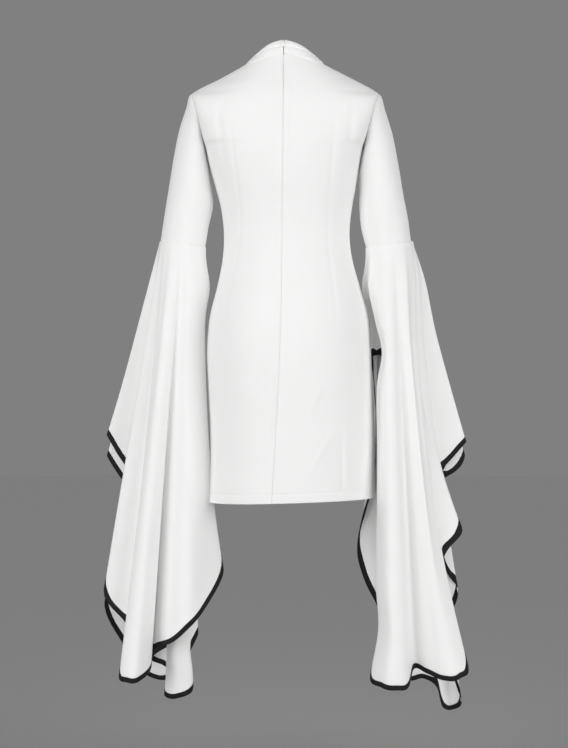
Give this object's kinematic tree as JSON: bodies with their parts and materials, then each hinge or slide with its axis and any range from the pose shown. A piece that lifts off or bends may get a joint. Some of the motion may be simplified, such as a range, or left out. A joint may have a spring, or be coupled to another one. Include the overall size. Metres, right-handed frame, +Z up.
{
  "type": "mini dress",
  "caption": "White fitted mini dress with a soft turned collar, back zip, set-in sleeves and long asymmetric flounces edged in black, standing hollow as worn.",
  "frame": {"origin": "the base of the neck, midway between the shoulders, where the wearer carries the dress", "axes": "+Z up, +Y towards the back of the dress (the zip), +X towards the wearer's left"},
  "size_m": [0.7409, 0.265, 1.3614],
  "materials": {
    "cloth": "matte crepe",
    "binding": "matte binding",
    "zip": "satin tape and painted pull"
  },
  "bodies": {
    "root": {"front_panel": "cloth", "back_panel_left": "cloth", "back_panel_right": "cloth", "sleeve_left": "cloth", "sleeve_right": "cloth", "flounce_left": "cloth", "flounce_right": "cloth", "collar_left": "cloth", "collar_right": "cloth", "binding_left": "binding", "binding_right": "binding", "zip_tape": "zip", "zip_pull": "zip"}
  },
  "joints": []
}
